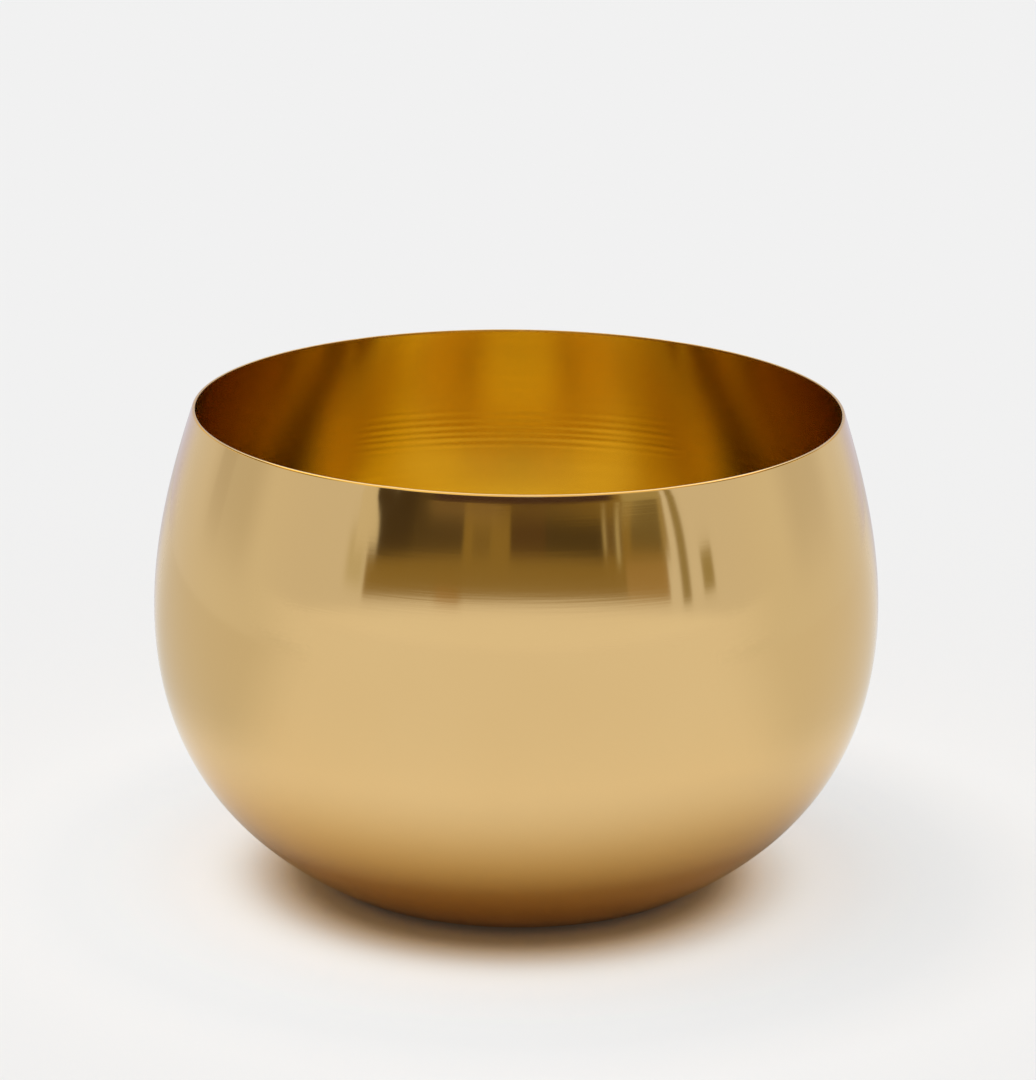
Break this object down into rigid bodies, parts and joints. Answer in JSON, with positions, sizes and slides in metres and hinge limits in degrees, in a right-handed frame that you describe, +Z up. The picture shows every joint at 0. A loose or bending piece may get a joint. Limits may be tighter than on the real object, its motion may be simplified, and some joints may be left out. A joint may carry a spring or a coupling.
{
  "type": "planter pot",
  "caption": "Round spun brass planter pot with a closed-in shoulder, thin plain rim and flat base on felt feet; an open bowl for a potted plant.",
  "frame": {"origin": "on the table, under the middle of the pot, at the underside of its felt feet", "axes": "+Z up along the axis the bowl is spun about, out of its mouth; -Y is the front"},
  "size_m": [0.25, 0.25, 0.1675],
  "materials": {
    "spun_brass": "satin, turned on a lathe, clear lacquered",
    "felt": "pressed felt, matt",
    "adhesive_film": "thin cloudy adhesive film"
  },
  "bodies": {
    "root": {"bowl": "spun_brass", "felt_foot_1": "felt", "felt_foot_2": "felt", "felt_foot_3": "felt", "felt_foot_4": "felt", "foot_adhesive_1": "adhesive_film", "foot_adhesive_2": "adhesive_film", "foot_adhesive_3": "adhesive_film", "foot_adhesive_4": "adhesive_film"}
  },
  "joints": []
}
